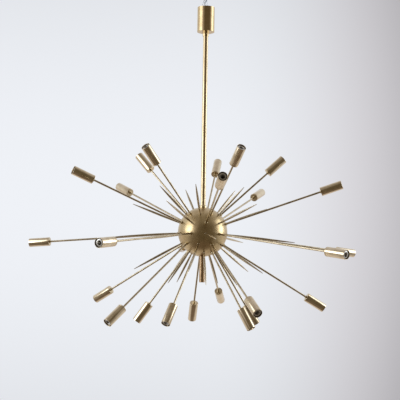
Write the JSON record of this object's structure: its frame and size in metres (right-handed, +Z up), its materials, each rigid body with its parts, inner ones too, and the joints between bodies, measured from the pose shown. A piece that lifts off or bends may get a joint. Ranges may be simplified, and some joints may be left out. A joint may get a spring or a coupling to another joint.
{
  "type": "sputnik chandelier",
  "caption": "Brass ball chandelier on a slim stem: tube arms with plain cylindrical lamp cups and slim turned spikes radiate in rings from a hollow ball.",
  "frame": {"origin": "centre of the eye at the top of the hanging wire, where the lamp is hung", "axes": "+Z up along the stem; -Y is the side seen in the picture; +X to the right there"},
  "size_m": [1.1024, 1.0929, 1.0739],
  "materials": {
    "ball_brass": "satin, aged",
    "stem_brass": "polished, lightly aged",
    "canopy_brass": "polished",
    "arm_brass": "drawn tube, lightly aged",
    "cup_brass": "polished",
    "spike_brass": "turned, lightly aged",
    "contact_nickel": "nickel plated",
    "black_bakelite": "moulded, gloss",
    "wire_steel": "galvanised",
    "plain_steel": "zinc plated",
    "lead_insulation": "matte",
    "terminal_plastic": "matte"
  },
  "bodies": {
    "hanger": {"hanging_wire": "wire_steel"},
    "fixture": {"stem_eye": "plain_steel", "stem_tube": "stem_brass", "stem_collar": "stem_brass", "stem_lead": "lead_insulation", "supply_terminal": "terminal_plastic", "upper_shell": "ball_brass", "lower_shell": "ball_brass", "centre_rod": "plain_steel", "centre_nuts": "plain_steel", "terminal_hub": "terminal_plastic", "finial": "stem_brass", "arm_ferrules": "arm_brass", "arm_nuts": "plain_steel", "spike_nuts": "plain_steel", "arm_leads": "lead_insulation", "cup_nipples": "arm_brass", "lampholder_contacts": "contact_nickel", "short_spikes": "spike_brass", "medium_spikes": "spike_brass", "long_spikes": "spike_brass", "arm_upper_steep_1": "arm_brass", "arm_upper_steep_2": "arm_brass", "arm_upper_steep_3": "arm_brass", "arm_upper_steep_4": "arm_brass", "arm_upper_steep_5": "arm_brass", "arm_upper_shallow_1": "arm_brass", "arm_upper_shallow_2": "arm_brass", "arm_upper_shallow_3": "arm_brass", "arm_upper_shallow_4": "arm_brass", "arm_upper_shallow_5": "arm_brass", "arm_middle_1": "arm_brass", "arm_middle_2": "arm_brass", "arm_middle_3": "arm_brass", "arm_middle_4": "arm_brass", "arm_middle_5": "arm_brass", "arm_lower_shallow_1": "arm_brass", "arm_lower_shallow_2": "arm_brass", "arm_lower_shallow_3": "arm_brass", "arm_lower_shallow_4": "arm_brass", "arm_lower_shallow_5": "arm_brass", "arm_lower_steep_1": "arm_brass", "arm_lower_steep_2": "arm_brass", "arm_lower_steep_3": "arm_brass", "arm_lower_steep_4": "arm_brass", "arm_lower_steep_5": "arm_brass", "lamp_cups_upper_steep": "cup_brass", "lampholders_upper_steep": "black_bakelite", "lamp_cups_upper_shallow": "cup_brass", "lampholders_upper_shallow": "black_bakelite", "lamp_cups_middle": "cup_brass", "lampholders_middle": "black_bakelite", "lamp_cups_lower_shallow": "cup_brass", "lampholders_lower_shallow": "black_bakelite", "lamp_cups_lower_steep": "cup_brass", "lampholders_lower_steep": "black_bakelite"},
    "canopy": {"canopy_cup": "canopy_brass", "canopy_grip": "canopy_brass", "canopy_nut": "plain_steel"},
    "screw": {"grip_screw": "canopy_brass"}
  },
  "joints": [
    {"name": "lamp_swing", "type": "hinge", "parent": "hanger", "child": "fixture", "pos_m": [0, 0, -0.0575], "axis": [1, 0, 0], "range_deg": [-8, 8]},
    {"name": "canopy_slide", "type": "slide", "parent": "fixture", "child": "canopy", "axis": [0, 0, 1], "range_m": [-0.546, 0]},
    {"name": "grip_screw_turn", "type": "hinge", "parent": "canopy", "child": "screw", "pos_m": [0, -0.0102, -0.1236], "axis": [0, -1, 0], "range_deg": [0, 630]}
  ]
}
